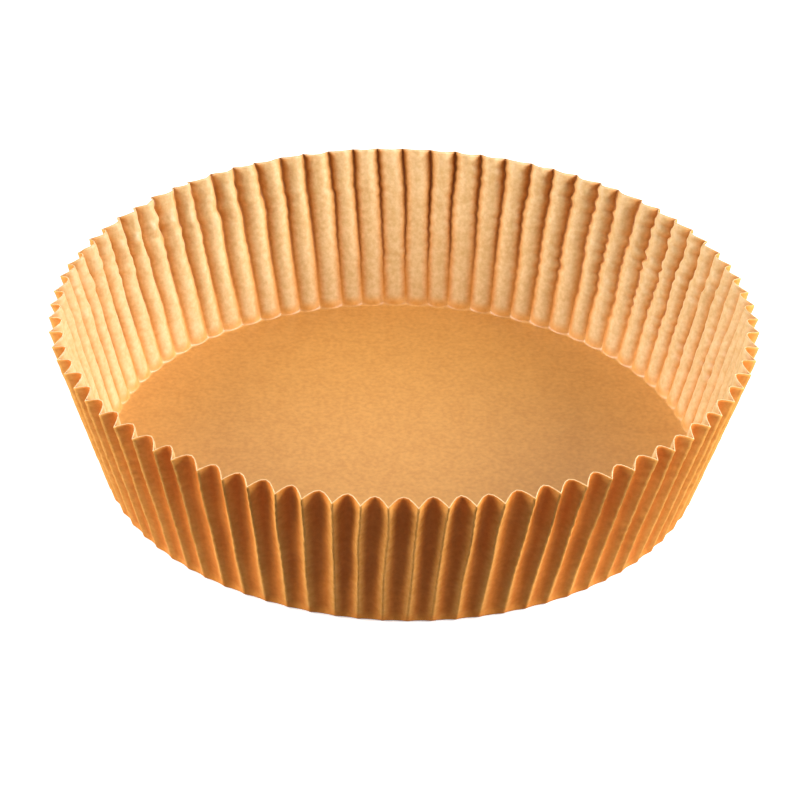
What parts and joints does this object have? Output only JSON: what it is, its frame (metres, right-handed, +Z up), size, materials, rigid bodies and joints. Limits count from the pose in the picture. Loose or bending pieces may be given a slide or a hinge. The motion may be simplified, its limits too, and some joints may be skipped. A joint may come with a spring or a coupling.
{
  "type": "air fryer paper liner",
  "caption": "Round, open-topped liner pressed from one sheet of kraft baking paper, with a flat floor and a finely fluted wall that leans outward.",
  "frame": {"origin": "centre of the floor's underside", "axes": "+Z up along the liner's axis, out of its open top; +X to the right and +Y away in the picture"},
  "size_m": [0.1879, 0.188, 0.045],
  "materials": {
    "paper": "matte"
  },
  "bodies": {
    "root": {"liner": "paper"}
  },
  "joints": []
}
